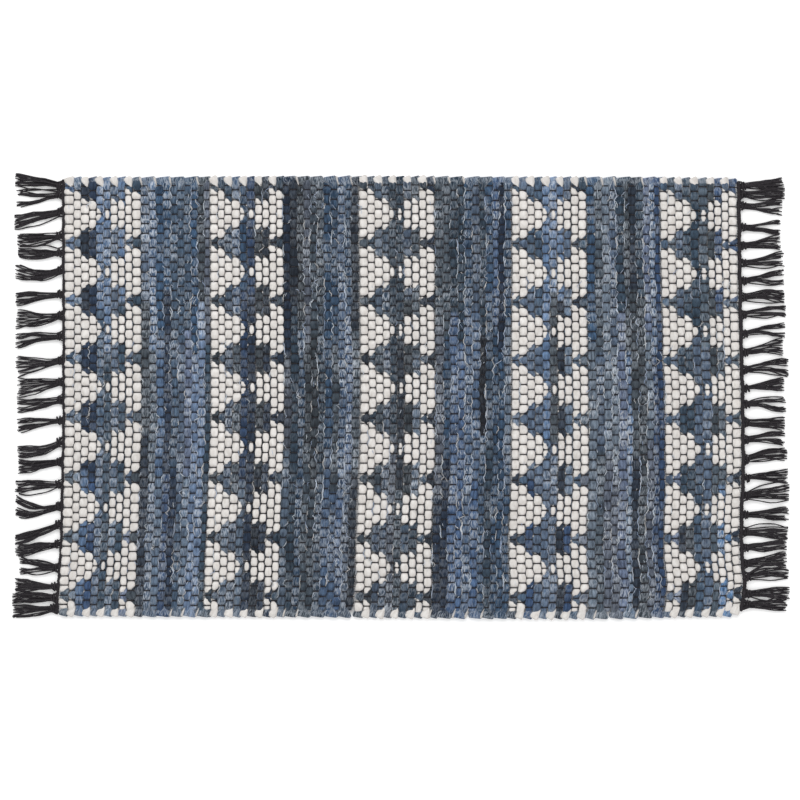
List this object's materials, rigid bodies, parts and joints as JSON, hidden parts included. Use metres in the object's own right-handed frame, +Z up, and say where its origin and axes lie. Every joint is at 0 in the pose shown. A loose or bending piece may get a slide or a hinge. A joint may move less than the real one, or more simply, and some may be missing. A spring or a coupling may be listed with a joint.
{
  "type": "rag rug",
  "caption": "Flat handwoven rag rug of denim and cream cloth strips on a black warp, with a knotted black fringe along each short end.",
  "frame": {"origin": "middle of the rug's underside, on the surface that it lies on, halfway between the two fringes' tips", "axes": "+X along the warp towards the right fringe, +Y across the rug along the cloth strips, +Z up out of the floor"},
  "size_m": [1.1655, 0.669, 0.009],
  "materials": {
    "rag_strips": "woven strips of worn blue and grey denim and of cream cotton, matt",
    "warp_yarn": "black plied cotton yarn, matt"
  },
  "bodies": {
    "root": {"woven_body": "rag_strips", "fringe_left": "warp_yarn", "fringe_right": "warp_yarn"}
  },
  "joints": []
}
